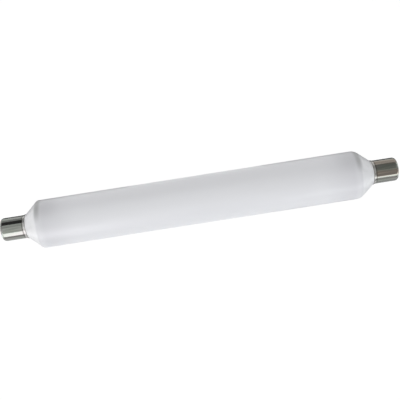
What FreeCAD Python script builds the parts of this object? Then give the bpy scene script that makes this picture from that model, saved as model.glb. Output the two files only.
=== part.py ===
# Tubular opal lamp with a drawn metal cap on each end, 310 mm long and 37.5 mm across.
# Millimetres. The lamp's axis is X, +Z is up, and the origin is the middle of the lamp.
import FreeCAD, Part
import math
import os

# Glass envelope: a tube that narrows through a cone at each end, the left one a little steeper
overall_length = 310.0
tube_diameter = 37.5
left_cone_half_angle = 41.8
right_cone_half_angle = 39.8

# Shoulders where the tube turns into its cones: the left one is crisp, the right one is soft
left_shoulder_radius = 2.5
right_shoulder_radius = 9.0

# Drawn metal cap: a cup of thin sheet with a flared lip and a rounded nose
cap_diameter = 18.1
cap_length = 19.8
cap_wall = 0.35
cap_nose_radius = 2.7
flare_length = 2.2
flare_rise = 0.5
flare_blend_radius = 2.5
lip_clearance = 0.05

# Dimple in the cap's end, with the eyelet that the lead wire comes out of
dimple_diameter = 7.0
dimple_depth = 0.8
dimple_wall_angle = 45.0
dimple_edge_radius = 0.35
eyelet_diameter = 2.4

# Glass neck inside each cap, and the ring of cement that holds the cap on it
cement_thickness = 0.75
cement_margin = 0.4
neck_root_radius = 2.0
neck_end_radius = 2.5
neck_end_gap = 3.6

# Lead wire, and the solder that joins it to the cap
wire_diameter = 0.7
wire_cover = 0.25
solder_margin = 0.5
solder_recess = 0.25
bead_margin = 0.6
bead_height = 0.5

# The lamp's axis
axis = FreeCAD.Vector(1, 0, 0)
middle = FreeCAD.Vector(0, 0, 0)
half_turn = 180
full_turn = 360

# Radii of the tube and the cap
tube_radius = tube_diameter / 2
cap_radius = cap_diameter / 2
cap_bore_radius = cap_radius - cap_wall
lip_radius = cap_radius + flare_rise
lip_bore_radius = lip_radius - cap_wall
neck_radius = cap_bore_radius - cement_thickness

# Radii in the cap's end
eyelet_radius = eyelet_diameter / 2
dimple_radius = dimple_diameter / 2
dimple_floor_radius = dimple_radius - dimple_depth / math.tan(math.radians(dimple_wall_angle))
dimple_wall_shift = cap_wall * math.tan(math.radians(dimple_wall_angle / 2))
dimple_inner_radius = max(dimple_edge_radius - cap_wall, 0)
solder_radius = dimple_floor_radius - solder_margin
bead_radius = eyelet_radius + bead_margin
wire_radius = wire_diameter / 2

# Places along the right half of the lamp, measured from its middle
end_face_x = overall_length / 2
lip_x = end_face_x - cap_length
flare_root_x = lip_x + flare_length
dimple_floor_x = end_face_x - dimple_depth
eyelet_inner_x = dimple_floor_x - cap_wall
neck_end_x = eyelet_inner_x - neck_end_gap
solder_top_x = end_face_x - solder_recess
wire_end_x = solder_top_x - wire_cover

# Each glass cone passes just inside the edge of its cap's lip
cone_radius_at_lip = lip_bore_radius - lip_clearance


def cone_x(radius, half_angle):
    """How far from the middle a cone of this angle has a radius."""
    return lip_x + (cone_radius_at_lip - radius) / math.tan(math.radians(half_angle))


def neck_start_x(half_angle):
    """How far from the middle the neck behind a cone of this angle becomes straight."""
    return cone_x(neck_radius, half_angle) + neck_root_radius * math.tan(math.radians(half_angle / 2))


# The cement starts where both necks and the cap's bore are straight
neck_x = max(neck_start_x(left_cone_half_angle), neck_start_x(right_cone_half_angle))
flare_setback = (flare_blend_radius + cap_wall) * math.tan(math.atan2(flare_rise, flare_length) / 2)
cement_start_x = cement_margin + max(neck_x, flare_root_x + flare_setback)
cement_end_x = neck_end_x - neck_end_radius - cement_margin


def point(x, radius):
    """The point at a place along the lamp and a distance from its axis."""
    return FreeCAD.Vector(x, 0, radius)


def corner_arc(before, corner, after, radius):
    """The arc that rounds a corner of an outline: its start, middle and end."""
    to_before = (before - corner).normalize()
    to_after = (after - corner).normalize()
    half_angle = to_before.getAngle(to_after) / 2
    inward = (to_before + to_after).normalize()
    centre = corner + inward * (radius / math.sin(half_angle))
    setback = radius / math.tan(half_angle)
    return corner + to_before * setback, centre - inward * radius, corner + to_after * setback


def outline(corners):
    """A closed wire through corners, each given as (x, radius from the axis, rounding)."""
    places = [point(x, radius) for x, radius, rounding in corners]
    starts = []
    ends = []
    edges = []
    for index, (x, radius, rounding) in enumerate(corners):
        corner = places[index]
        start, end = corner, corner
        if rounding > 0:
            after = places[(index + 1) % len(places)]
            start, halfway, end = corner_arc(places[index - 1], corner, after, rounding)
            edges.append(Part.Arc(start, halfway, end).toShape())
        starts.append(start)
        ends.append(end)
    for index, start in enumerate(starts):
        edges.append(Part.LineSegment(ends[index - 1], start).toShape())
    return Part.Wire(Part.sortEdges(edges)[0])


def turned(corners):
    """The solid that an outline sweeps in a full turn about the lamp's axis."""
    return Part.Face(outline(corners)).revolve(middle, axis, full_turn)


def rod(radius, start_x, end_x):
    """A round rod on the lamp's axis."""
    return Part.makeCylinder(radius, end_x - start_x, point(start_x, 0), axis)


def opal_envelope():
    """The sealed opal glass bulb: a tube, two cones and the necks that carry the caps."""
    return turned([
        (-neck_end_x, 0, 0),
        (-neck_end_x, neck_radius, neck_end_radius),
        (-cone_x(neck_radius, left_cone_half_angle), neck_radius, neck_root_radius),
        (-cone_x(tube_radius, left_cone_half_angle), tube_radius, left_shoulder_radius),
        (cone_x(tube_radius, right_cone_half_angle), tube_radius, right_shoulder_radius),
        (cone_x(neck_radius, right_cone_half_angle), neck_radius, neck_root_radius),
        (neck_end_x, neck_radius, neck_end_radius),
        (neck_end_x, 0, 0),
    ])


def cap_shell():
    """A cup drawn from thin sheet, round its outside from the lip and back along its inside."""
    return turned([
        (lip_x, lip_radius, 0),
        (flare_root_x, cap_radius, flare_blend_radius),
        (end_face_x, cap_radius, cap_nose_radius),
        (end_face_x, dimple_radius, dimple_edge_radius),
        (dimple_floor_x, dimple_floor_radius, dimple_edge_radius),
        (dimple_floor_x, eyelet_radius, 0),
        (eyelet_inner_x, eyelet_radius, 0),
        (eyelet_inner_x, dimple_floor_radius + dimple_wall_shift, dimple_edge_radius + cap_wall),
        (end_face_x - cap_wall, dimple_radius + dimple_wall_shift, dimple_inner_radius),
        (end_face_x - cap_wall, cap_bore_radius, cap_nose_radius - cap_wall),
        (flare_root_x, cap_bore_radius, flare_blend_radius + cap_wall),
        (lip_x, lip_bore_radius, 0),
    ])


def capping_cement():
    """The ring of cement between the neck and the cap."""
    outside = rod(cap_bore_radius, cement_start_x, cement_end_x)
    return outside.cut(rod(neck_radius, cement_start_x, cement_end_x))


def lead_wire():
    """The wire from the neck, through the eyelet and into the solder."""
    return rod(wire_radius, neck_end_x, wire_end_x)


def contact_solder():
    """The solder on the wire: a dome in the dimple, a plug in the eyelet and a bead behind it."""
    dome_height = solder_top_x - dimple_floor_x
    ball_radius = (solder_radius ** 2 + dome_height ** 2) / (2 * dome_height)
    ball = Part.makeSphere(ball_radius, point(solder_top_x - ball_radius, 0))
    dome = ball.common(rod(solder_radius, dimple_floor_x, solder_top_x))
    plug = rod(eyelet_radius, eyelet_inner_x, dimple_floor_x)
    bead_start = point(eyelet_inner_x - bead_height, 0)
    bead = Part.makeCone(wire_radius, bead_radius, bead_height, bead_start, axis)
    return dome.fuse([plug, bead]).cut(lead_wire()).removeSplitter()


def save(shape, name):
    """Writes one named piece."""
    shape.exportStep(os.path.join("parts", name + ".step"))


def main():
    """Builds the bulb, and the pieces of one cap for each end."""
    os.makedirs("parts", exist_ok=True)
    save(opal_envelope(), "opal_envelope")
    cap_pieces = {
        "cap_shell": cap_shell(),
        "capping_cement": capping_cement(),
        "lead_wire": lead_wire(),
        "contact_solder": contact_solder(),
    }
    for name, piece in cap_pieces.items():
        save(piece, "right_" + name)
        save(piece.rotated(middle, FreeCAD.Vector(0, 0, 1), half_turn), "left_" + name)


main()
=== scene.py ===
"""Looks of a tubular opal lamp: a sealed opal bulb with a drawn metal cap on each end.

Metres. The lamp's axis is X, +Z is up, and the origin is the middle of the lamp.
"""

import logging
import math
from dataclasses import dataclass, replace
from enum import Enum
from typing import Callable

import bpy
import numpy as np
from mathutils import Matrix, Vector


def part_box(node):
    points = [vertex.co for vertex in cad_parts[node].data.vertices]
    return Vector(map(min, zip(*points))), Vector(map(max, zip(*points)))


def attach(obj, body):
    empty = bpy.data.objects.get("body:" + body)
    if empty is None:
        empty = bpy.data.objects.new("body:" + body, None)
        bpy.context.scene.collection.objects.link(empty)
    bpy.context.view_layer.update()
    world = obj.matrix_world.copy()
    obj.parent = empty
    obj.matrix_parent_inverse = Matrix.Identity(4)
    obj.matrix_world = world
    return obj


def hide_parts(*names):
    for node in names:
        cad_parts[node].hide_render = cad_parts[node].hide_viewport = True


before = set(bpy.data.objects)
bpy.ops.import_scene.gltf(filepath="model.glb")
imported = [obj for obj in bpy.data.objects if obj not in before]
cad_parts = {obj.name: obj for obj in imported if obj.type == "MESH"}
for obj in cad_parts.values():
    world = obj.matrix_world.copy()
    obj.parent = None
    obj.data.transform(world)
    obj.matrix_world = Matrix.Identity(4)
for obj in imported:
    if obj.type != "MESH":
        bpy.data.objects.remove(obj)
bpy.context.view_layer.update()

# A span says where something starts and ends, and a pair is for the left end and the right end
Span = tuple[float, float]
Pair = tuple[float, float]
Triple = tuple[float, float, float]
Colour = Triple

# A value in a material is plain, or comes from a socket
Socket = bpy.types.NodeSocket
Number = Socket | float
Paint = Socket | Colour

# A relief gives a point's radius from its place along the axis, its even radius and its angle
Relief = Callable[[np.ndarray, np.ndarray, np.ndarray], np.ndarray]

BODY = "root"
log = logging.getLogger("tubular_lamp")


class End(Enum):
    """The lamp's two ends, and the way each one points along X."""

    LEFT = -1
    RIGHT = 1

    def named(self, piece: str) -> str:
        """The name of a piece on this end."""
        return f"{self.name.lower()}_{piece}"


def moved(span: Span, distance: float) -> Span:
    """A span that starts and ends a distance further on."""
    return distance + span[0], distance + span[1]


# Shapes


@dataclass(frozen=True)
class Corner:
    """A corner of an outline: its place along the axis, its radius, and how far it is rounded."""

    x: float
    radius: float
    rounding: float = 0.0

    def place(self) -> np.ndarray:
        """The corner as a point (x, radius)."""
        return np.array((self.x, self.radius))


@dataclass(frozen=True)
class Outline:
    """A line through rounded corners, drawn in the half plane above the lamp's axis."""

    corners: tuple[Corner, ...]
    closed: bool
    arc_step: float = math.radians(3.0)
    longest_run: float = 0.003

    def arc(self, before: Corner, corner: Corner, after: Corner) -> np.ndarray:
        """Points along the arc that rounds a corner.

        The arc's centre is on the line that halves the corner, at the rounding divided by the sine
        of half the corner's angle. The radius turns evenly from the arc's start to its end: at the
        share k of the turn w, it is (start sin((1 - k) w) + end sin(k w)) / sin w.

        Args:
            before: The corner that the line comes from.
            corner: The corner that is rounded.
            after: The corner that the line goes to.

        Returns:
            The arc's points, or the bare corner if it isn't rounded, one row each.
        """
        middle = corner.place()
        if corner.rounding <= 0:
            return middle[None, :]
        back = before.place() - middle
        ahead = after.place() - middle
        back /= np.linalg.norm(back)
        ahead /= np.linalg.norm(ahead)
        half = math.acos(float(back @ ahead)) / 2
        inward = (back + ahead) / np.linalg.norm(back + ahead)
        centre = middle + inward * corner.rounding / math.sin(half)
        setback = corner.rounding / math.tan(half)
        start = middle + back * setback - centre
        end = middle + ahead * setback - centre
        turn = math.pi - 2 * half
        share = np.linspace(0, 1, max(3, math.ceil(turn / self.arc_step) + 1))[:, None]
        sweep = start * np.sin((1 - share) * turn) + end * np.sin(share * turn)
        return centre + sweep / math.sin(turn)

    def run(self, start: np.ndarray, end: np.ndarray) -> np.ndarray:
        """Evenly spaced points on the straight run between two places.

        At the share k of the way, a point is start + k (end - start).

        Args:
            start: Where the run starts.
            end: Where it ends.

        Returns:
            The points between the two places, without the places themselves, one row each.
        """
        reach = end - start
        count = math.ceil(float(np.linalg.norm(reach)) / self.longest_run)
        share = np.linspace(0, 1, count + 1)[1:-1, None]
        return start + share * reach

    def points(self) -> np.ndarray:
        """The whole line: the arc of each corner, and the points of the runs between them.

        Returns:
            The line's points, one row each.
        """
        count = len(self.corners)
        arcs = []
        for index, corner in enumerate(self.corners):
            before = self.corners[index - 1]
            after = self.corners[(index + 1) % count]
            rounded = self.closed or 0 < index < count - 1
            arcs.append(self.arc(before, corner, after) if rounded else corner.place()[None, :])
        line = []
        for index, arc in enumerate(arcs):
            line.append(arc)
            if self.closed or index < count - 1:
                line.append(self.run(arc[-1], arcs[(index + 1) % count][0]))
        return np.concatenate(line)


@dataclass(frozen=True)
class TurnedSurface:
    """The surface that an outline sweeps in a full turn about the lamp's axis."""

    outline: Outline
    relief: Relief
    end: End = End.RIGHT
    turns: int = 192
    sharp_edge: float = math.radians(32.0)

    def places(self) -> np.ndarray:
        """Points of the surface on a grid of places s along the outline and turns t round the axis.

        With the relief r'(x, r, t) for the radius, a point is (x, r' cos t, r' sin t). On the left
        end it is turned half round Z, to (-x, -r' cos t, r' sin t).

        Returns:
            An array of rows along the outline, columns round the axis, and three coordinates.
        """
        line = self.outline.points()
        turn = np.linspace(0, 2 * math.pi, self.turns, endpoint=False)
        x, angle = np.meshgrid(line[:, 0], turn, indexing="ij")
        radius = np.broadcast_to(line[:, 1:2], x.shape)
        radius = self.relief(x, radius, angle)
        grid = np.stack((x, radius * np.cos(angle), radius * np.sin(angle)), axis=-1)
        return grid * (self.end.value, self.end.value, 1)

    def ring_faces(self, rows: int) -> np.ndarray:
        """Quads between neighbouring rings of points, each facing away from the sheet.

        Args:
            rows: The number of rows that have a full ring of points.

        Returns:
            The four point numbers of each quad.
        """
        number = np.arange(rows * self.turns).reshape(rows, self.turns)
        if self.outline.closed:
            number = np.concatenate((number, number[:1]))
        beside = np.roll(number, -1, axis=1)
        return np.stack((number[:-1], beside[:-1], beside[1:], number[1:]), axis=-1).reshape(-1, 4)

    def pole_faces(self, rows: int) -> np.ndarray:
        """Triangles from the first and last ring to their points on the axis, the last two points.

        Args:
            rows: The number of rows that have a full ring of points.

        Returns:
            The three point numbers of each triangle.
        """
        first = np.arange(self.turns)
        last = first + (rows - 1) * self.turns
        pole = np.full(self.turns, rows * self.turns)
        start = np.stack((pole, np.roll(first, -1), first), axis=-1)
        end = np.stack((pole + 1, last, np.roll(last, -1)), axis=-1)
        return np.concatenate((start, end))

    def build(self, name: str) -> bpy.types.Object:
        """Makes the mesh, with one point at each end of an outline that starts and ends on the axis.

        Args:
            name: The piece's name.

        Returns:
            The new object, linked to the scene.
        """
        grid = self.places()
        if self.outline.closed:
            faces = self.ring_faces(len(grid)).tolist()
            return mesh_object(name, grid.reshape(-1, 3), faces, self.sharp_edge)
        rings = grid[1:-1]
        points = np.concatenate((rings.reshape(-1, 3), grid[0, :1], grid[-1, :1]))
        faces = self.ring_faces(len(rings)).tolist() + self.pole_faces(len(rings)).tolist()
        return mesh_object(name, points, faces, self.sharp_edge)


def mesh_object(
    name: str, points: np.ndarray, faces: list[list[int]], sharp_edge: float
) -> bpy.types.Object:
    """Puts worked-out points and faces into a mesh whose object sits at the origin.

    Args:
        name: The piece's name.
        points: One row of three coordinates for each point.
        faces: The point numbers of each face.
        sharp_edge: The angle in radians past which an edge stays crisp.

    Returns:
        The new object, linked to the scene.
    """
    mesh = bpy.data.meshes.new(name)
    mesh.from_pydata(points.tolist(), [], faces)
    mesh.shade_smooth()
    mesh.set_sharp_from_angle(angle=sharp_edge)
    piece = bpy.data.objects.new(name, mesh)
    bpy.context.scene.collection.objects.link(piece)
    return piece


def smooth_step(value: np.ndarray, span: Span) -> np.ndarray:
    """Rises from 0 to 1 over a span, as 3 k squared less 2 k cubed, with k the share of the way."""
    share = np.clip((value - span[0]) / (span[1] - span[0]), 0, 1)
    return share * share * (3 - 2 * share)


# Finishes


@dataclass(frozen=True)
class Grain:
    """Cloudy noise: how fine it is, its layers of detail, and how it lies on the object.

    A stretch below 1 draws the clouds out that way, and the offset moves them.
    """

    fineness: float
    detail: float = 3.0
    rough: float = 0.5
    stretch: Triple = (1, 1, 1)
    offset: Triple = (0, 0, 0)


class NodeSheet:
    """A material's node tree, with short ways to add nodes and to join them."""

    def __init__(self, name: str) -> None:
        """Starts a material with a Principled shader.

        Args:
            name: The material's name.
        """
        self.material = bpy.data.materials.new(name)
        self.material.use_nodes = True
        self.tree = self.material.node_tree
        self.shader = self.tree.nodes["Principled BSDF"]

    def set(self, **values: float) -> None:
        """Sets sockets of the shader, each named as it is there with _ for a space."""
        for name, value in values.items():
            self.shader.inputs[name.replace("_", " ")].default_value = value

    def join(self, source: Socket, name: str) -> None:
        """Joins a value to one of the shader's sockets."""
        self.tree.links.new(source, self.shader.inputs[name])

    def fill(self, socket: Socket, value: Number | tuple) -> None:
        """Joins a socket to another one, or sets it to a plain value.

        Args:
            socket: The socket to fill.
            value: The other socket, or the plain value.
        """
        if isinstance(value, Socket):
            self.tree.links.new(value, socket)
        else:
            socket.default_value = value

    def place(self, scale: Triple = (1, 1, 1), offset: Triple = (0, 0, 0)) -> Socket:
        """The point on the object, scaled and then moved.

        Args:
            scale: What each coordinate is multiplied by.
            offset: What is then added to it.

        Returns:
            The socket that gives the point.
        """
        source = self.tree.nodes.new("ShaderNodeTexCoord")
        mapping = self.tree.nodes.new("ShaderNodeMapping")
        mapping.inputs["Scale"].default_value = scale
        mapping.inputs["Location"].default_value = offset
        self.tree.links.new(source.outputs["Object"], mapping.inputs["Vector"])
        return mapping.outputs["Vector"]

    def coordinates(self, scale: Triple = (1, 1, 1)) -> tuple[Socket, Socket, Socket]:
        """The three coordinates of the point on the object.

        Args:
            scale: What each coordinate is multiplied by.

        Returns:
            The sockets that give the coordinates along, across and up.
        """
        split = self.tree.nodes.new("ShaderNodeSeparateXYZ")
        self.tree.links.new(self.place(scale), split.inputs[0])
        return split.outputs[0], split.outputs[1], split.outputs[2]

    def signed_along(self) -> Socket:
        """The place along the lamp's axis, below zero on its left."""
        return self.coordinates()[0]

    def along(self) -> Socket:
        """The distance from the lamp's middle, measured along its axis."""
        return self.maths("ABSOLUTE", self.signed_along())

    def round_axis(self) -> Socket:
        """The angle round the lamp's axis, from straight up towards -Y."""
        _, across, up = self.coordinates(scale=(1, -1, 1))
        return self.maths("ARCTAN2", across, up)

    def maths(self, operation: str, first: Number, second: Number = 0.0) -> Socket:
        """The result of one node that works with numbers.

        Args:
            operation: What the node does, by Blender's name for it.
            first: The first number, or the socket that gives it.
            second: The second one, which some operations leave unused.

        Returns:
            The socket that gives the result.
        """
        node = self.tree.nodes.new("ShaderNodeMath")
        node.operation = operation
        self.fill(node.inputs[0], first)
        self.fill(node.inputs[1], second)
        return node.outputs[0]

    def noise(self, grain: Grain) -> Socket:
        """Cloudy noise over the object.

        Args:
            grain: How fine and how rough the noise is, and how it lies.

        Returns:
            The socket that gives the noise, from 0 to 1.
        """
        node = self.tree.nodes.new("ShaderNodeTexNoise")
        node.inputs["Scale"].default_value = grain.fineness
        node.inputs["Detail"].default_value = grain.detail
        node.inputs["Roughness"].default_value = grain.rough
        self.tree.links.new(self.place(grain.stretch, grain.offset), node.inputs["Vector"])
        return node.outputs["Fac"]

    def rise(self, value: Number, span: Span, levels: Span = (0.0, 1.0)) -> Socket:
        """A smooth step, which stays level outside its span.

        Args:
            value: What the step follows.
            span: The values between which it rises or falls.
            levels: What it gives at the span's start and at its end.

        Returns:
            The socket that gives the step.
        """
        node = self.tree.nodes.new("ShaderNodeMapRange")
        node.interpolation_type = "SMOOTHSTEP"
        settings = zip(("From Min", "From Max", "To Min", "To Max"), (*span, *levels))
        for name, setting in settings:
            self.fill(node.inputs[name], setting)
        self.fill(node.inputs["Value"], value)
        return node.outputs["Result"]

    def blend(self, share: Number, first: Paint, second: Paint) -> Socket:
        """A colour between two colours.

        Args:
            share: The share of the second colour.
            first: The first colour, or the socket that gives it.
            second: The second colour, or the socket that gives it.

        Returns:
            The socket that gives the colour.
        """
        node = self.tree.nodes.new("ShaderNodeMix")
        node.data_type = "RGBA"
        self.fill(node.inputs[0], share)
        self.fill(node.inputs[6], first if isinstance(first, Socket) else (*first, 1))
        self.fill(node.inputs[7], second if isinstance(second, Socket) else (*second, 1))
        return node.outputs[2]

    def relief(self, height: Socket, depth: float, strength: float) -> None:
        """Bumps the surface.

        Args:
            height: The socket that gives the height, from 0 to 1.
            depth: What a height of 1 stands for, in metres.
            strength: The share of the bump that shows.
        """
        node = self.tree.nodes.new("ShaderNodeBump")
        node.inputs["Distance"].default_value = depth
        node.inputs["Strength"].default_value = strength
        self.tree.links.new(height, node.inputs["Height"])
        self.join(node.outputs["Normal"], "Normal")


@dataclass(frozen=True)
class OpalGlass:
    """Satin opal glass: a cool white coat under smooth glass, with painted shade greying it towards its
    ends.

    Just before each shoulder a narrow ring of painted shade shows as a dark line on the far side, and on
    the near side painted light pales the bend.
    Spans that end in past are distances past the shoulder, below zero on the tube. Right half is
    where the left end's values give way to the right end's.
    """

    white: Colour = (0.797, 0.802, 0.827)
    thin_coat: Colour = (0.789, 0.795, 0.820)
    cloud: Grain = Grain(12.0, detail=1.0, rough=0.3, stretch=(0.3, 1, 1))
    cloud_span: Span = (0.2, 0.8)
    right_half: Span = (-0.01, 0.01)
    shoulder_painted_shade: Colour = (0.699, 0.701, 0.731)
    shoulder_past: Span = (-0.034, -0.002)
    far_turn: float = 1.31
    far_side_span: Span = (0.24, 0.86)
    far_shoulder_painted_shade: Colour = (0.635, 0.637, 0.662)
    far_shoulder_past: Span = (-0.022, -0.002)
    painted_bend_light_share: float = 0.38
    painted_bend_light_past: Span = (-0.0065, -0.0015)
    cone_white: Colour = (0.832, 0.837, 0.852)
    streak_grey: Colour = (0.777, 0.782, 0.795)
    streaks: Grain = Grain(260.0, detail=2.0, stretch=(0.12, 1, 1), offset=(0.3, 0, 0))
    streak_span: Span = (0.45, 0.8)
    cone_past: Span = (-0.0002, 0.0012)
    bend_painted_shade: Colour = (0.470, 0.475, 0.480)
    bend_before: Pair = (0.001, 0.0003)
    bend_span: Span = (0.0006, 0.0034)
    haze: Grain = Grain(90.0)
    haze_span: Span = (0.3, 0.7)
    roughness: Span = (0.30, 0.36)
    ripple: Grain = Grain(380.0, detail=2.0, stretch=(1, 0.4, 0.4))
    ripple_depth: float = 0.00004
    ripple_strength: float = 0.35
    refraction: float = 1.5

    def tube_coat_with_painted_light(self, sheet: NodeSheet, past: Socket, far_side: Socket) -> Socket:
        """The tube's coat, with painted shade greying it towards the shoulders and painted light paling
        their near side.

        Args:
            sheet: The material's nodes.
            past: The distance past the shoulder.
            far_side: 1 on the far side of the picture and 0 on the near side.

        Returns:
            The socket that gives the colour.
        """
        clouds = sheet.rise(sheet.noise(self.cloud), self.cloud_span)
        coat = sheet.blend(clouds, self.white, self.thin_coat)
        # Painted shade: the coat greys towards each shoulder.
        coat = sheet.blend(sheet.rise(past, self.shoulder_past), coat, self.shoulder_painted_shade)
        # Painted shade: darker still just before each shoulder on the far side.
        far_shoulder = sheet.maths("MULTIPLY", sheet.rise(past, self.far_shoulder_past), far_side)
        coat = sheet.blend(far_shoulder, coat, self.far_shoulder_painted_shade)
        # Painted light: on the near side the bend pales towards the cones' white.
        near_side = sheet.maths("SUBTRACT", 1.0, far_side)
        painted_bend_light = sheet.rise(past, self.painted_bend_light_past, (0.0, self.painted_bend_light_share))
        painted_bend_light = sheet.maths("MULTIPLY", painted_bend_light, near_side)
        return sheet.blend(painted_bend_light, coat, self.cone_white)

    def cone_coat(self, sheet: NodeSheet) -> Socket:
        """The cones' whiter coat, with faint streaks along it."""
        streaks = sheet.rise(sheet.noise(self.streaks), self.streak_span)
        return sheet.blend(streaks, self.cone_white, self.streak_grey)

    def painted_bend_line(self, sheet: NodeSheet, past: Socket, far_side: Socket) -> Socket:
        """The narrow ring of painted shade just before each shoulder, a dark line on the far side only.

        Args:
            sheet: The material's nodes.
            past: The distance past the shoulder.
            far_side: 1 on the far side of the picture and 0 on the near side.

        Returns:
            The socket that gives the ring's share, from 0 to 1.
        """
        middle = sheet.rise(sheet.signed_along(), self.right_half, self.bend_before)
        from_bend = sheet.maths("ABSOLUTE", sheet.maths("ADD", past, middle))
        return sheet.maths("MULTIPLY", sheet.rise(from_bend, self.bend_span, (1.0, 0.0)), far_side)

    def material(self, left_x: float, right_x: float) -> bpy.types.Material:
        """Makes the glass.

        Args:
            left_x: How far from the middle the left shoulder is.
            right_x: How far from the middle the right shoulder is.

        Returns:
            The material.
        """
        sheet = NodeSheet("opal_glass")
        shoulder_x = sheet.rise(sheet.signed_along(), self.right_half, (left_x, right_x))
        past = sheet.maths("SUBTRACT", sheet.along(), shoulder_x)
        from_far_side = sheet.maths("COSINE", sheet.maths("ADD", sheet.round_axis(), self.far_turn))
        far_side = sheet.rise(from_far_side, self.far_side_span)
        coat = self.tube_coat_with_painted_light(sheet, past, far_side)
        coat = sheet.blend(sheet.rise(past, self.cone_past), coat, self.cone_coat(sheet))
        # Painted shade: the dark line just before each shoulder, on the far side.
        coat = sheet.blend(self.painted_bend_line(sheet, past, far_side), coat, self.bend_painted_shade)
        sheet.join(coat, "Base Color")
        haze = sheet.noise(self.haze)
        sheet.join(sheet.rise(haze, self.haze_span, self.roughness), "Roughness")
        sheet.relief(sheet.noise(self.ripple), self.ripple_depth, self.ripple_strength)
        sheet.set(IOR=self.refraction)
        return sheet.material


@dataclass(frozen=True)
class PlatedCap:
    """Bright plating gone dull: cool and plain patches, painted warm reflection bands, drawing streaks, a
    paler worn lip, and painted shade in the groove and along the lip's edge.

    The spans for the lip, the groove and the rim are distances along the cap: the lip's edge from
    the lip, its worn flare and the groove from the flare's root, and the rim from the end face.
    """

    cool: Colour = (0.265, 0.290, 0.262)
    plain: Colour = (0.290, 0.288, 0.280)
    patches: Grain = Grain(130.0, detail=2.0, stretch=(0.35, 1, 1), offset=(0.02, 0.004, 0.01))
    patch_span: Span = (0.4, 0.7)
    warm: Colour = (0.300, 0.262, 0.225)
    hue_bands: float = 5.75
    hue_start: float = 2.85
    hue_wander: float = 0.5
    hue_span: Span = (-0.7, 0.9)
    warm_end: Span = (-0.1, 0.1)
    warm_turn: float = 0.35
    warm_side_span: Span = (0.35, 0.75)
    grime_and_painted_shade: Colour = (0.070, 0.062, 0.055)
    drawn: Grain = Grain(900.0, stretch=(0.05, 1, 1))
    drawn_span: Span = (0.35, 0.7)
    drawn_share: float = 0.3
    worn: Colour = (0.515, 0.511, 0.499)
    flare_span: Span = (-0.0009, -0.0002)
    flare_share: float = 0.75
    groove_span: Span = (0.0001, 0.0006)
    groove_shade_share: float = 0.6
    edge_span: Span = (0.0001, 0.0004)
    lip_edge_shade_share: float = 0.3
    rim_span: Span = (-0.0006, -0.00005)
    rim_share: float = 0.7
    scuffs: Grain = Grain(520.0, stretch=(0.2, 1, 1))
    scuff_span: Span = (0.3, 0.75)
    roughness: Span = (0.055, 0.125)
    worn_roughness: float = 0.14
    rings: Grain = Grain(2600.0, detail=2.0, stretch=(1, 0.02, 0.02))
    ring_depth: float = 0.000012
    ring_strength: float = 0.3

    def plating(self, sheet: NodeSheet) -> Socket:
        """The plating's colour: cool and plain patches, and painted warm reflection bands on the right
        cap's upper side.

        Args:
            sheet: The material's nodes.

        Returns:
            The socket that gives the colour.
        """
        patches = sheet.noise(self.patches)
        colour = sheet.blend(sheet.rise(patches, self.patch_span), self.cool, self.plain)
        # Painted reflection: warm bands at fixed turns round the right cap's upper side stand for a warm
        # tint that the metal mirrors.
        wander = sheet.maths("MULTIPLY", patches, self.hue_wander)
        turn = sheet.maths("ADD", sheet.round_axis(), wander)
        bands = sheet.maths("SUBTRACT", sheet.maths("MULTIPLY", turn, self.hue_bands), self.hue_start)
        hue = sheet.rise(sheet.maths("COSINE", bands), self.hue_span)
        warm = sheet.maths("MULTIPLY", hue, sheet.rise(sheet.signed_along(), self.warm_end))
        side = sheet.maths("COSINE", sheet.maths("ADD", sheet.round_axis(), self.warm_turn))
        warm = sheet.maths("MULTIPLY", warm, sheet.rise(side, self.warm_side_span))
        return sheet.blend(warm, colour, self.warm)

    def material(self, lip_x: float, root_x: float, end_x: float) -> bpy.types.Material:
        """Makes the plating.

        Args:
            lip_x: How far from the middle the cap's lip is.
            root_x: How far from the middle the flare starts to open.
            end_x: How far from the middle the cap's end face is.

        Returns:
            The material.
        """
        sheet = NodeSheet("plated_cap")
        along = sheet.along()
        colour = self.plating(sheet)
        drawn = sheet.rise(sheet.noise(self.drawn), self.drawn_span, (0.0, self.drawn_share))
        colour = sheet.blend(drawn, colour, self.grime_and_painted_shade)
        flare = sheet.rise(along, moved(self.flare_span, root_x), (self.flare_share, 0.0))
        colour = sheet.blend(flare, colour, self.worn)
        # Dirt and painted shade darken the groove at the flare's root.
        from_root = sheet.maths("ABSOLUTE", sheet.maths("SUBTRACT", along, root_x))
        groove = sheet.rise(from_root, self.groove_span, (self.groove_shade_share, 0.0))
        colour = sheet.blend(groove, colour, self.grime_and_painted_shade)
        # Painted shade along the lip's edge.
        edge = sheet.rise(along, moved(self.edge_span, lip_x), (self.lip_edge_shade_share, 0.0))
        colour = sheet.blend(edge, colour, self.grime_and_painted_shade)
        rim = sheet.rise(along, moved(self.rim_span, end_x), (0.0, self.rim_share))
        colour = sheet.blend(rim, colour, self.worn)
        sheet.join(colour, "Base Color")
        gloss = sheet.rise(sheet.noise(self.scuffs), self.scuff_span, self.roughness)
        handled = sheet.rise(along, moved(self.flare_span, root_x), (self.worn_roughness, 0.0))
        sheet.join(sheet.maths("ADD", gloss, handled), "Roughness")
        sheet.relief(sheet.noise(self.rings), self.ring_depth, self.ring_strength)
        sheet.set(Metallic=1.0)
        return sheet.material


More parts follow.
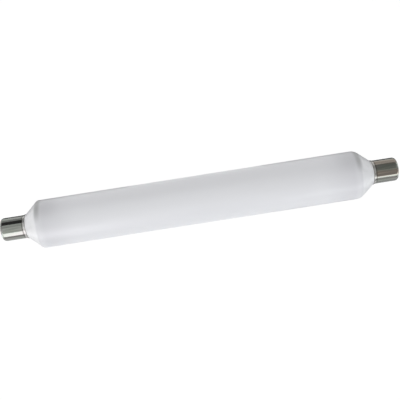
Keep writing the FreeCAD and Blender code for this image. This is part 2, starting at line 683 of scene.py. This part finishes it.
@dataclass(frozen=True)
class TinSolder:
    """Solder that has set with a dull, slightly pitted skin."""

    bright: Colour = (0.520, 0.525, 0.530)
    dull: Colour = (0.270, 0.268, 0.262)
    skin: Grain = Grain(900.0, detail=4.0, rough=0.6)
    dull_span: Span = (0.35, 0.65)
    rough_span: Span = (0.3, 0.7)
    roughness: Span = (0.24, 0.48)
    pit_depth: float = 0.00006
    pit_strength: float = 0.5

    def material(self) -> bpy.types.Material:
        """Makes the solder.

        Returns:
            The material.
        """
        sheet = NodeSheet("solder")
        skin = sheet.noise(self.skin)
        sheet.join(sheet.blend(sheet.rise(skin, self.dull_span), self.bright, self.dull), "Base Color")
        sheet.join(sheet.rise(skin, self.rough_span, self.roughness), "Roughness")
        sheet.relief(skin, self.pit_depth, self.pit_strength)
        sheet.set(Metallic=1.0)
        return sheet.material


@dataclass(frozen=True)
class CappingCement:
    """Grainy, pale, baked cement."""

    pale: Colour = (0.700, 0.670, 0.590)
    burnt: Colour = (0.520, 0.440, 0.320)
    stain: Grain = Grain(140.0)
    stain_span: Span = (0.45, 0.75)
    grain: Grain = Grain(1500.0, detail=5.0, rough=0.7)
    grain_span: Span = (0.5, 0.8)
    grain_share: float = 0.4
    grain_depth: float = 0.00008
    grain_strength: float = 0.8
    roughness: float = 0.92

    def material(self) -> bpy.types.Material:
        """Makes the cement.

        Returns:
            The material.
        """
        sheet = NodeSheet("cement")
        grain = sheet.noise(self.grain)
        colour = sheet.blend(sheet.rise(sheet.noise(self.stain), self.stain_span), self.pale, self.burnt)
        specks = sheet.rise(grain, self.grain_span, (0.0, self.grain_share))
        sheet.join(sheet.blend(specks, colour, self.burnt), "Base Color")
        sheet.relief(grain, self.grain_depth, self.grain_strength)
        sheet.set(Roughness=self.roughness)
        return sheet.material


@dataclass(frozen=True)
class LeadWire:
    """Drawn wire with a brown bloom from the heat of the seal."""

    bare: Colour = (0.560, 0.530, 0.480)
    bloom: Colour = (0.330, 0.235, 0.160)
    blooms: Grain = Grain(420.0)
    bloom_span: Span = (0.4, 0.7)
    streaks: Grain = Grain(2400.0, stretch=(0.1, 1, 1))
    streak_span: Span = (0.3, 0.7)
    roughness: Span = (0.22, 0.4)
    streak_depth: float = 0.00001
    streak_strength: float = 0.4

    def material(self) -> bpy.types.Material:
        """Makes the wire.

        Returns:
            The material.
        """
        sheet = NodeSheet("lead_wire")
        streaks = sheet.noise(self.streaks)
        blooms = sheet.rise(sheet.noise(self.blooms), self.bloom_span)
        sheet.join(sheet.blend(blooms, self.bare, self.bloom), "Base Color")
        sheet.join(sheet.rise(streaks, self.streak_span, self.roughness), "Roughness")
        sheet.relief(streaks, self.streak_depth, self.streak_strength)
        sheet.set(Metallic=1.0)
        return sheet.material


# The lamp


@dataclass
class OpalEnvelope:
    """The sealed opal bulb: a tube, a cone at each end, and a neck inside each cap."""

    left_cone_half_angle: float = math.radians(41.8)
    right_cone_half_angle: float = math.radians(39.8)
    left_shoulder_radius: float = 0.0025
    right_shoulder_radius: float = 0.009
    neck_radius: float = 0.00795
    neck_root_radius: float = 0.002
    neck_end_radius: float = 0.0025
    lip_clearance: float = 0.00005
    ripple_depth: float = 0.000012
    ripple_pitch: float = 0.0021
    ripple_lean: int = 3
    ripple_start: Span = (-0.004, 0.002)
    ripple_end: Span = (-0.002, 0.001)

    def __post_init__(self) -> None:
        """Takes the tube's radius and the necks' ends from the CAD bulb, and the cones from the caps."""
        low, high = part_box("opal_envelope")
        self.tube_radius = high[2]
        self.neck_end_x = high[0]
        low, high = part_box("right_cap_shell")
        self.lip_x = low[0]
        self.cone_radius = high[2] - DrawnCap.wall - self.lip_clearance
        self.left_shoulder_x = self.cone_x(self.tube_radius, self.left_cone_half_angle)
        self.right_shoulder_x = self.cone_x(self.tube_radius, self.right_cone_half_angle)
        self.left_neck_x = self.cone_x(self.neck_radius, self.left_cone_half_angle)
        self.right_neck_x = self.cone_x(self.neck_radius, self.right_cone_half_angle)

    def cone_x(self, radius: float, half_angle: float) -> float:
        """How far from the middle a cone of this angle, which passes its cap's lip, has a radius."""
        return self.lip_x + (self.cone_radius - radius) / math.tan(half_angle)

    def outline(self) -> Outline:
        """The bulb's outline from its left end to its right end, with a crisp and a soft shoulder.

        Returns:
            The open outline, which starts and ends on the axis.
        """
        neck = self.neck_radius
        return Outline((
            Corner(-self.neck_end_x, 0),
            Corner(-self.neck_end_x, neck, self.neck_end_radius),
            Corner(-self.left_neck_x, neck, self.neck_root_radius),
            Corner(-self.left_shoulder_x, self.tube_radius, self.left_shoulder_radius),
            Corner(self.right_shoulder_x, self.tube_radius, self.right_shoulder_radius),
            Corner(self.right_neck_x, neck, self.neck_root_radius),
            Corner(self.neck_end_x, neck, self.neck_end_radius),
            Corner(self.neck_end_x, 0),
        ), closed=False)

    def ripples(self, x: np.ndarray, radius: np.ndarray, angle: np.ndarray) -> np.ndarray:
        """Faint ripples where the glass was worked down into its cones.

        The radius loses depth w (1 + cos(2 pi |x| / pitch + lean t)) / 2, where w rises to 1 past
        each shoulder and falls to 0 under each cap's lip.

        Args:
            x: The place of each point along the axis.
            radius: Its even radius.
            angle: Its angle t round the axis.

        Returns:
            The rippled radius of each point.
        """
        away = np.abs(x)
        worked = smooth_step(away, moved(self.ripple_start, self.right_shoulder_x))
        worked = worked * (1 - smooth_step(away, moved(self.ripple_end, self.lip_x)))
        wave = np.cos(2 * math.pi * away / self.ripple_pitch + self.ripple_lean * angle)
        return radius - self.ripple_depth * worked * (1 + wave) / 2

    def build(self) -> bpy.types.Object:
        """Builds the bulb and dresses it.

        Returns:
            The bulb.
        """
        bulb = TurnedSurface(self.outline(), self.ripples).build("opal_bulb")
        bulb.data.materials.append(OpalGlass().material(self.left_shoulder_x, self.right_shoulder_x))
        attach(bulb, BODY)
        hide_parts("opal_envelope")
        return bulb


@dataclass
class DrawnCap:
    """A cup drawn from thin sheet: a flared lip, a rounded nose and a dimple with an eyelet."""

    end: End
    wall: float = 0.00035
    nose_radius: float = 0.0027
    flare_length: float = 0.0022
    flare_rise: float = 0.0005
    flare_blend: float = 0.0025
    lip_rounding: float = 0.00011
    dimple_radius: float = 0.0035
    dimple_depth: float = 0.0008
    dimple_slope: float = math.radians(45.0)
    dimple_rounding: float = 0.00035
    eyelet_radius: float = 0.0012
    wobble_depth: float = 0.00003
    wobble_twist: float = 260.0
    wobble_phases: Pair = (0.9, 2.6)
    wobble_past_root: float = 0.003
    wobble_before_end: Span = (-0.005, -0.002)
    longest_run: float = 0.0008
    turns: int = 160

    def __post_init__(self) -> None:
        """Takes the lip, the end face and the radius from this end's CAD shell."""
        low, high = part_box(self.end.named("cap_shell"))
        self.lip_x = min(abs(low[0]), abs(high[0]))
        self.end_x = max(abs(low[0]), abs(high[0]))
        self.lip_radius = high[2]
        self.radius = self.lip_radius - self.flare_rise
        self.root_x = self.lip_x + self.flare_length

    def outline(self) -> Outline:
        """The sheet's outline: along its outside from the lip, into the dimple, and back inside.

        Returns:
            The closed outline.
        """
        floor_x = self.end_x - self.dimple_depth
        floor_radius = self.dimple_radius - self.dimple_depth / math.tan(self.dimple_slope)
        shift = self.wall * math.tan(self.dimple_slope / 2)
        bore = self.radius - self.wall
        return Outline((
            Corner(self.lip_x, self.lip_radius, self.lip_rounding),
            Corner(self.root_x, self.radius, self.flare_blend),
            Corner(self.end_x, self.radius, self.nose_radius),
            Corner(self.end_x, self.dimple_radius, self.dimple_rounding),
            Corner(floor_x, floor_radius, self.dimple_rounding),
            Corner(floor_x, self.eyelet_radius),
            Corner(floor_x - self.wall, self.eyelet_radius),
            Corner(floor_x - self.wall, floor_radius + shift, self.dimple_rounding + self.wall),
            Corner(self.end_x - self.wall, self.dimple_radius + shift),
            Corner(self.end_x - self.wall, bore, self.nose_radius - self.wall),
            Corner(self.root_x, bore, self.flare_blend + self.wall),
            Corner(self.lip_x, self.lip_radius - self.wall, self.lip_rounding),
        ), closed=True, longest_run=self.longest_run)

    def wobble(self, x: np.ndarray, radius: np.ndarray, angle: np.ndarray) -> np.ndarray:
        """The slight unevenness of a drawn wall, which bends what it mirrors.

        The radius loses depth w (2 + cos(2 t + p) + cos(3 t - twist x + p)) / 4, where w falls to 0
        at the lip and at the nose, and p sets the two ends apart.

        Args:
            x: The place of each point along the axis.
            radius: Its even radius.
            angle: Its angle t round the axis.

        Returns:
            The uneven radius of each point.
        """
        left_phase, right_phase = self.wobble_phases
        phase = left_phase if self.end is End.LEFT else right_phase
        held = smooth_step(x, (self.lip_x, self.root_x + self.wobble_past_root))
        held = held * (1 - smooth_step(x, moved(self.wobble_before_end, self.end_x)))
        wave = 2 + np.cos(2 * angle + phase) + np.cos(3 * angle - self.wobble_twist * x + phase)
        return radius - self.wobble_depth * held * wave / 4

    def build(self) -> bpy.types.Object:
        """Builds the shell and dresses it.

        Returns:
            The shell.
        """
        surface = TurnedSurface(self.outline(), self.wobble, self.end, self.turns)
        shell = surface.build(self.end.named("drawn_cap"))
        shell.data.materials.append(PlatedCap().material(self.lip_x, self.root_x, self.end_x))
        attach(shell, BODY)
        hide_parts(self.end.named("cap_shell"))
        return shell


@dataclass
class SolderedContact:
    """The solder in a cap's dimple: a dome over the wire, a plug in the eyelet and a bead behind it."""

    end: End
    dome_radius: float = 0.0022
    dome_height: float = 0.00055
    dome_steps: int = 26
    plug_radius: float = 0.0012
    plug_length: float = 0.00035
    bead_radius: float = 0.0018
    wire_radius: float = 0.00035
    wire_cover: float = 0.00025
    edge_wave: float = 0.00018
    rounding_slack: float = 1e-9
    turns: int = 96

    def __post_init__(self) -> None:
        """Takes the two ends of the solder from this end's CAD solder."""
        low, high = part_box(self.end.named("contact_solder"))
        self.back_x = min(abs(low[0]), abs(high[0]))
        self.top_x = max(abs(low[0]), abs(high[0]))
        self.floor_x = self.top_x - self.dome_height

    def outline(self) -> Outline:
        """The solder's outline, from the end of the hole for the wire round to the top of the dome.

        At the share k of its radius, the dome has dropped by its height times k squared.

        Returns:
            The open outline, which starts and ends on the axis.
        """
        share = np.linspace(1, 0, self.dome_steps)
        drop = self.dome_height * share ** 2
        dome = zip((self.top_x - drop).tolist(), (self.dome_radius * share).tolist())
        plug_x = self.floor_x - self.plug_length
        return Outline((
            Corner(self.top_x - self.wire_cover, 0),
            Corner(self.top_x - self.wire_cover, self.wire_radius),
            Corner(self.back_x, self.wire_radius),
            Corner(plug_x, self.bead_radius),
            Corner(plug_x, self.plug_radius),
            Corner(self.floor_x, self.plug_radius),
            *(Corner(x, radius) for x, radius in dome),
        ), closed=False)

    def uneven_edge(self, x: np.ndarray, radius: np.ndarray, angle: np.ndarray) -> np.ndarray:
        """The dome's edge, which ran a little further on some sides.

        The radius loses depth w (2 + cos(2 t + e) + cos(5 t + 1)) / 4, where e is -1 on the left
        end and 1 on the right, and w rises from 0 at the wire to 1 at the edge of the dome.

        Args:
            x: The place of each point along the axis.
            radius: Its even radius.
            angle: Its angle t round the axis.

        Returns:
            The uneven radius of each point.
        """
        on_dome = smooth_step(radius, (self.bead_radius / 2, self.dome_radius))
        in_front = x >= self.floor_x - self.rounding_slack
        wave = 2 + np.cos(2 * angle + self.end.value) + np.cos(5 * angle + 1)
        return radius - self.edge_wave * on_dome * in_front * wave / 4

    def build(self) -> bpy.types.Object:
        """Builds the solder and dresses it.

        Returns:
            The solder.
        """
        surface = TurnedSurface(self.outline(), self.uneven_edge, self.end, self.turns)
        solder = surface.build(self.end.named("solder_contact"))
        solder.data.materials.append(TinSolder().material())
        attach(solder, BODY)
        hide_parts(self.end.named("contact_solder"))
        return solder


class HiddenPieces:
    """The cement rings and lead wires, whose CAD shapes stay as they are."""

    def dress(self) -> list[bpy.types.Object]:
        """Gives each piece its finish.

        Returns:
            The dressed pieces.
        """
        finishes = {
            "capping_cement": CappingCement().material(),
            "lead_wire": LeadWire().material(),
        }
        return [self.paint(end.named(node), finish) for end in End for node, finish in finishes.items()]

    def paint(self, node: str, finish: bpy.types.Material) -> bpy.types.Object:
        """Puts one finish on a CAD piece.

        Args:
            node: The piece's name in the frame.
            finish: The material that it gets.

        Returns:
            The piece.
        """
        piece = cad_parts[node]
        piece.data.materials.clear()
        piece.data.materials.append(finish)
        return piece


# The studio


@dataclass(frozen=True)
class StudioCard:
    """A bright or dark card, which stands round the lamp and is hidden from the camera.

    A direction is given by its roll, the turn about the lamp's axis from straight up towards the
    near edge of the picture, and by its lean, the turn from there towards the right end. A card
    that is only mirrored shows in the metal and in the gloss of the glass, and lights nothing.
    """

    name: str
    roll: Span
    lean: Span
    strength: float
    tint: Colour = (1.0, 1.0, 1.0)
    distance: float = 0.9
    about_x: float = 0.0
    only_mirrored: bool = True
    steps: int = 12

    def build(self) -> bpy.types.Object:
        """Bends the card round a place on the axis, in front of whatever it shades.

        A point is (about_x, 0, 0) + distance (sin lean, -cos lean sin roll, cos lean cos roll).

        Returns:
            The card.
        """
        share = np.linspace(0, 1, self.steps)
        roll = np.radians(self.roll[0] + share * (self.roll[1] - self.roll[0]))
        lean = np.radians(self.lean[0] + share * (self.lean[1] - self.lean[0]))
        roll, lean = np.meshgrid(roll, lean, indexing="ij")
        grid = np.stack((np.sin(lean), -np.cos(lean) * np.sin(roll), np.cos(lean) * np.cos(roll)), axis=-1)
        number = np.arange(self.steps ** 2).reshape(self.steps, self.steps)
        quads = np.stack((number[:-1, :-1], number[:-1, 1:], number[1:, 1:], number[1:, :-1]), axis=-1)
        points = (grid * self.distance + (self.about_x, 0, 0)).reshape(-1, 3)
        card = mesh_object("studio_" + self.name, points, quads.reshape(-1, 4).tolist(), math.pi)
        card.data.materials.append(self.material())
        card.visible_camera = False
        card.visible_diffuse = not self.only_mirrored
        card.visible_shadow = not self.only_mirrored
        return card

    def material(self) -> bpy.types.Material:
        """An even glow, which is all but black for a dark card.

        Returns:
            The material.
        """
        material = bpy.data.materials.new("studio_" + self.name)
        material.use_nodes = True
        nodes = material.node_tree.nodes
        nodes.clear()
        glow = nodes.new("ShaderNodeEmission")
        glow.inputs["Color"].default_value = (*self.tint, 1)
        glow.inputs["Strength"].default_value = self.strength
        output = nodes.new("ShaderNodeOutputMaterial")
        material.node_tree.links.new(glow.outputs[0], output.inputs["Surface"])
        return material


# The leans that each cap's straight wall mirrors to the camera, and the middle between them
LEFT_WALL: Span = (-42, -12)
MIDDLE: Span = (-12, 12)
RIGHT_WALL: Span = (12, 44)

# The leans that each cap's flare and rounded nose mirror
LEFT_NOSE: Span = (-80, -43)
RIGHT_NOSE: Span = (45, 80)

# The rolls and leans of the lights
LIGHT_FAR: Span = (-100, -35)
LIGHT_TOP: Span = (-33, 33)
LIGHT_NEAR: Span = (35, 100)
LIGHT_LEFT: Span = (-80, -25)
LIGHT_MIDDLE: Span = (-23, 23)
LIGHT_RIGHT: Span = (25, 80)

# Where each cap's own small cards stand, and how far from the axis
LEFT_CAP_X = -0.145
RIGHT_CAP_X = 0.145
UNDER_DISTANCE = 0.12
NOSE_DISTANCE = 0.115

# Tints of more than one card
ROSE: Colour = (1.0, 0.96, 0.985)
GREEN: Colour = (0.98, 1.035, 0.985)


@dataclass(frozen=True)
class Studio:
    """A white floor and surround, the soft lights and the cards."""

    surround_light: float = 0.42
    background_white: float = 1.0
    floor_z: float = -0.14
    floor_half: float = 3.0
    floor_shade: float = 0.80
    floor_lit_share: float = 0.30
    floor_glow: float = 0.78
    light_distance: float = 1.6
    cards: tuple[StudioCard, ...] = (
        StudioCard("left_strip_light", (40, 77), LEFT_WALL, 3.35, ROSE),
        StudioCard("left_strip_end", (40, 80), (-51, -42), 1.65, ROSE),
        StudioCard("left_strip_bend", (40, 80), (-60, -51), 3.1),
        StudioCard("left_strip_nose", (40, 80), (-120, -60), 2.4),
        StudioCard("left_strip_turn", (80, 98), (-52, -40), 1.0, ROSE, distance=0.8),
        StudioCard("right_strip_light", (54, 70), (12, 36), 2.83),
        StudioCard("right_strip_end", (54, 80), (36, 51), 1.85),
        StudioCard("right_strip_bend", (56, 80), (51, 58), 3.8),
        StudioCard("right_strip_nose", (56, 90), (58, 120), 2.9),
        StudioCard("near_wall", (44, 82), MIDDLE, 0.5),
        StudioCard("left_end_far", (-100, -45), LEFT_NOSE, 0.15),
        StudioCard("left_flare_far", (-84, -46), (-54, -43), 0.42, distance=0.85),
        StudioCard("left_end_top", (-45, 0), LEFT_NOSE, 0.9),
        StudioCard("left_end_mid", (0, 22), LEFT_NOSE, 1.4),
        StudioCard("left_end_near", (22, 40), LEFT_NOSE, 1.12),
        StudioCard("left_end_low", (80, 114), (-80, -38), 0.4),
        StudioCard("right_end_far", (-104, -38), (45, 85), 0.49),
        StudioCard("right_flare_far", (-104, -84), (40, 52), 0.8, distance=0.85),
        StudioCard("right_end_top", (-38, 14), RIGHT_NOSE, 0.66),
        StudioCard("right_end_mid", (14, 54), RIGHT_NOSE, 0.36),
        StudioCard("right_end_near", (80, 112), (37, 56), 0.2),
        StudioCard("right_end_low", (90, 112), (56, 80), 0.05),
        StudioCard("overhead_left_far", (-40, -14), LEFT_WALL, 0.78, GREEN),
        StudioCard("overhead_left_mid", (-14, 12), LEFT_WALL, 1.03, GREEN),
        StudioCard("overhead_left_near", (12, 38), LEFT_WALL, 1.09, (1.0, 1.01, 0.98)),
        StudioCard("overhead_middle", (-44, 43), MIDDLE, 1.5),
        StudioCard("overhead_right_far", (-71, -33), RIGHT_WALL, 0.34, (1.02, 1.0, 0.97)),
        StudioCard("overhead_right_mid", (-33, -8), RIGHT_WALL, 0.37, (1.03, 0.99, 0.95)),
        StudioCard("overhead_right_crown", (-8, 16), RIGHT_WALL, 0.61, (1.04, 0.985, 0.95)),
        StudioCard("overhead_right_near", (16, 51), RIGHT_WALL, 0.62),
        StudioCard("dark_left", (-79, -42), LEFT_WALL, 0.07),
        StudioCard("far_wall", (-78, -46), MIDDLE, 0.42),
        StudioCard("left_near_edge", (80, 118), (-36, -12), 0.72, (1.0, 0.995, 0.97)),
        StudioCard("right_near_edge", (73, 118), (12, 36), 0.81, (1.03, 0.985, 0.975)),
        StudioCard("left_far_edge", (-130, -81), (-44, -12), 0.53),
        StudioCard("right_far_band", (-94, -73), RIGHT_WALL, 0.93),
        StudioCard("right_far_edge", (-102, -94), RIGHT_WALL, 0.6),
        StudioCard("right_far_low_edge", (-130, -102), RIGHT_WALL, 0.02),
    )
    left_cap_cards: tuple[StudioCard, ...] = (
        StudioCard("left_under_near", (118, 153), (-43, 45), 0.99, distance=UNDER_DISTANCE),
        StudioCard("left_under_low", (153, 178), (-43, 45), 0.7, distance=UNDER_DISTANCE),
        StudioCard("left_under_far", (178, 230), (-43, 45), 0.1, distance=UNDER_DISTANCE),
        StudioCard("left_nose_light", (76, 175), (-67, -48), 2.7, distance=NOSE_DISTANCE),
    )
    right_cap_cards: tuple[StudioCard, ...] = (
        StudioCard("right_under_near", (118, 153), (-45, 45), 0.7, distance=UNDER_DISTANCE),
        StudioCard("right_under_low", (153, 178), (-45, 45), 0.2, distance=UNDER_DISTANCE),
        StudioCard("right_under_far", (178, 230), (-45, 45), 0.05, distance=UNDER_DISTANCE),
        StudioCard("right_nose_light", (76, 160), (47, 67), 2.25, distance=NOSE_DISTANCE),
    )
    lights: tuple[StudioCard, ...] = (
        StudioCard("left_far_light", LIGHT_FAR, LIGHT_LEFT, 1.27),
        StudioCard("left_top_light", LIGHT_TOP, LIGHT_LEFT, 0.24),
        StudioCard("left_near_light", LIGHT_NEAR, LIGHT_LEFT, 1.58),
        StudioCard("middle_far_light", LIGHT_FAR, LIGHT_MIDDLE, 0.76),
        StudioCard("middle_top_light", LIGHT_TOP, LIGHT_MIDDLE, 1.28),
        StudioCard("middle_near_light", LIGHT_NEAR, LIGHT_MIDDLE, 0.89),
        StudioCard("right_far_light", LIGHT_FAR, LIGHT_RIGHT, 0.43),
        StudioCard("right_top_light", LIGHT_TOP, LIGHT_RIGHT, 0.12),
        StudioCard("right_near_light", LIGHT_NEAR, LIGHT_RIGHT, 1.57, (0.93, 0.96, 1.0)),
    )

    def rays_that_see_white(self, tree: bpy.types.NodeTree) -> Socket:
        """1 for rays from the camera, a mirror or glass, and 0 for the rays that carry light.

        Args:
            tree: The nodes that the answer is added to.

        Returns:
            The socket that gives it.
        """
        path = tree.nodes.new("ShaderNodeLightPath")
        share = path.outputs["Is Camera Ray"]
        for name in ("Is Glossy Ray", "Is Transmission Ray"):
            node = tree.nodes.new("ShaderNodeMath")
            node.operation = "MAXIMUM"
            tree.links.new(share, node.inputs[0])
            tree.links.new(path.outputs[name], node.inputs[1])
            share = node.outputs[0]
        return share

    def build_surround(self) -> None:
        """A world that lights the lamp evenly and shows as white."""
        world = bpy.data.worlds.new("studio_surround")
        bpy.context.scene.world = world
        world.use_nodes = True
        tree = world.node_tree
        tree.nodes.clear()
        light = tree.nodes.new("ShaderNodeBackground")
        light.inputs["Strength"].default_value = self.surround_light
        white = tree.nodes.new("ShaderNodeBackground")
        white.inputs["Strength"].default_value = self.background_white
        mix = tree.nodes.new("ShaderNodeMixShader")
        output = tree.nodes.new("ShaderNodeOutputWorld")
        tree.links.new(self.rays_that_see_white(tree), mix.inputs[0])
        tree.links.new(light.outputs[0], mix.inputs[1])
        tree.links.new(white.outputs[0], mix.inputs[2])
        tree.links.new(mix.outputs[0], output.inputs["Surface"])

    def floor_material(self) -> bpy.types.Material:
        """Paint that shows as white where the lamp doesn't shade it.

        The rays that carry light meet plain paint. The rays that see white meet a glow and a darker
        paint, which together are white in full light and grey in the lamp's shadow.

        Returns:
            The material.
        """
        material = bpy.data.materials.new("studio_floor")
        material.use_nodes = True
        tree = material.node_tree
        tree.nodes.clear()
        paint = tree.nodes.new("ShaderNodeBsdfDiffuse")
        paint.inputs["Color"].default_value = (*(self.floor_shade,) * 3, 1)
        shown = tree.nodes.new("ShaderNodeBsdfDiffuse")
        shown.inputs["Color"].default_value = (*(self.floor_lit_share,) * 3, 1)
        glow = tree.nodes.new("ShaderNodeEmission")
        glow.inputs["Strength"].default_value = self.floor_glow
        bright = tree.nodes.new("ShaderNodeAddShader")
        mix = tree.nodes.new("ShaderNodeMixShader")
        output = tree.nodes.new("ShaderNodeOutputMaterial")
        tree.links.new(shown.outputs[0], bright.inputs[0])
        tree.links.new(glow.outputs[0], bright.inputs[1])
        tree.links.new(self.rays_that_see_white(tree), mix.inputs[0])
        tree.links.new(paint.outputs[0], mix.inputs[1])
        tree.links.new(bright.outputs[0], mix.inputs[2])
        tree.links.new(mix.outputs[0], output.inputs["Surface"])
        return material

    def build_floor(self) -> bpy.types.Object:
        """A flat, square floor below the lamp.

        Returns:
            The floor.
        """
        half = self.floor_half
        level = self.floor_z
        corners = ((-half, -half, level), (half, -half, level), (half, half, level), (-half, half, level))
        floor = mesh_object("studio_floor", np.array(corners), [[0, 1, 2, 3]], math.pi)
        floor.data.materials.append(self.floor_material())
        return floor

    def build(self) -> None:
        """Builds the surround, the floor, the cards and the lights."""
        self.build_surround()
        self.build_floor()
        for card in self.cards:
            card.build()
        for card in self.left_cap_cards:
            replace(card, about_x=LEFT_CAP_X).build()
        for card in self.right_cap_cards:
            replace(card, about_x=RIGHT_CAP_X).build()
        for light in self.lights:
            replace(light, distance=self.light_distance, only_mirrored=False).build()


@dataclass(frozen=True)
class PictureCamera:
    """The camera above the lamp, with the lamp's right end raised in the picture.

    The lamp's place is how far its middle is to the right of the picture's middle and above it, in
    pixels.
    """

    distance: float = 0.5
    focal_pixels: float = 641.8
    picture_side: float = 400.0
    sensor: float = 36.0
    tilt: float = math.radians(8.898)
    lamp_right: float = -0.6
    lamp_up: float = 0.65
    nearest: float = 0.01
    furthest: float = 50.0

    def build(self) -> bpy.types.Object:
        """Places the camera straight above the lamp, moved so that the lamp sits where the picture has it.

        Returns:
            The camera.
        """
        data = bpy.data.cameras.new("picture_camera")
        data.sensor_width = self.sensor
        data.lens = self.focal_pixels * self.sensor / self.picture_side
        data.clip_start = self.nearest
        data.clip_end = self.furthest
        camera = bpy.data.objects.new("picture_camera", data)
        metres = self.distance / self.focal_pixels
        right = -self.lamp_right * metres
        up = -self.lamp_up * metres
        cosine, sine = math.cos(self.tilt), math.sin(self.tilt)
        camera.location = (right * cosine + up * sine, up * cosine - right * sine, self.distance)
        camera.rotation_euler = (0, 0, -self.tilt)
        bpy.context.scene.collection.objects.link(camera)
        bpy.context.scene.camera = camera
        return camera


def main() -> None:
    """Builds the lamp, the studio and the camera, in that order."""
    logging.basicConfig(level=logging.INFO, format="%(message)s")
    pieces = [OpalEnvelope().build()]
    for end in End:
        pieces.append(DrawnCap(end).build())
        pieces.append(SolderedContact(end).build())
    pieces.extend(HiddenPieces().dress())
    for piece in pieces:
        log.info("%s: %d faces", piece.name, len(piece.data.polygons))
    Studio().build()
    PictureCamera().build()
    bpy.context.scene.view_settings.view_transform = "Standard"


if __name__ == "__main__":
    main()
